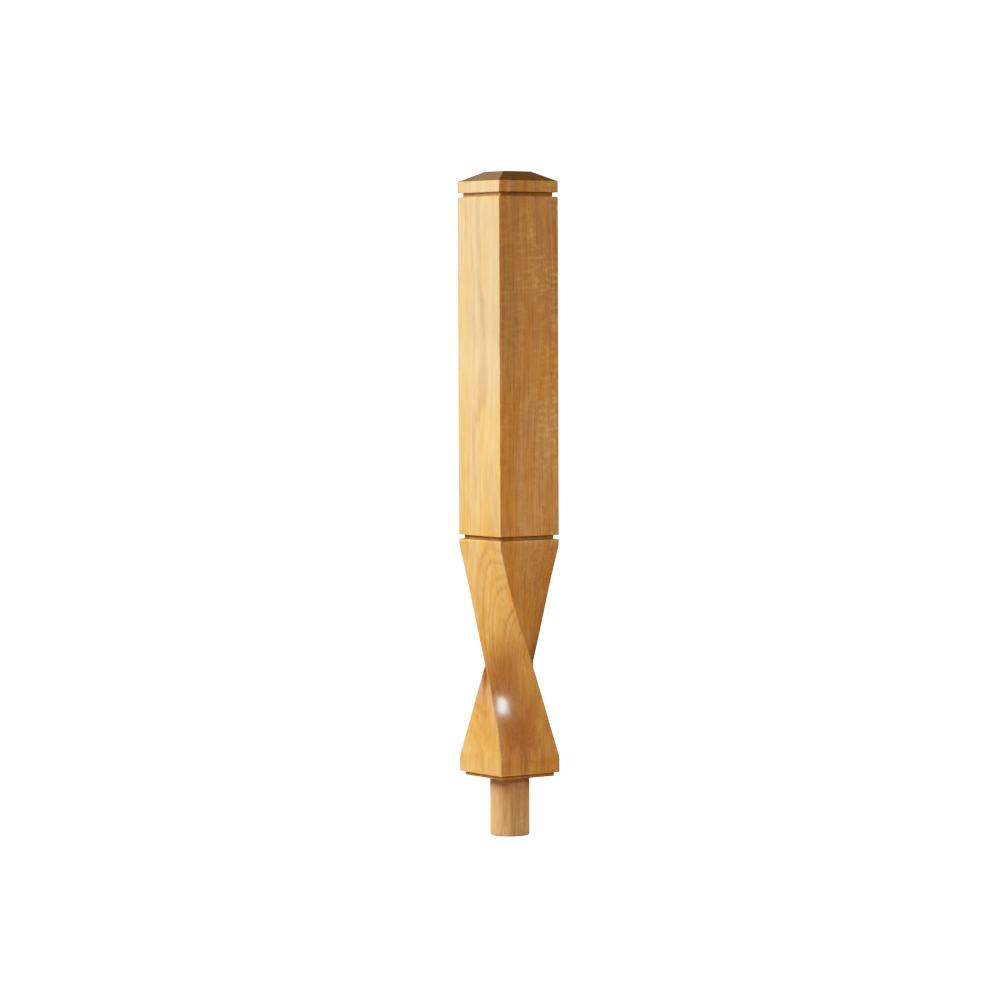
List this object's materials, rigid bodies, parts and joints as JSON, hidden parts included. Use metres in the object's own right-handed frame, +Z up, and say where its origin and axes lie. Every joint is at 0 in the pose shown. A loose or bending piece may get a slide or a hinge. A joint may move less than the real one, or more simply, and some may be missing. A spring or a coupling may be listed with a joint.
{
  "type": "newel post",
  "caption": "Square oak newel post with a low hipped cap, cut grooves, a waisted quarter twist above a square base, and a round spigot that is glued into a stair's newel base.",
  "frame": {"origin": "centre of the spigot's lower end", "axes": "+Z up the post's axis, +X and +Y square to the faces of the shaft"},
  "size_m": [0.091, 0.091, 0.837],
  "materials": {
    "oak": "clear satin lacquer over plain-sawn oak"
  },
  "bodies": {
    "root": {"newel_post": "oak"}
  },
  "joints": []
}
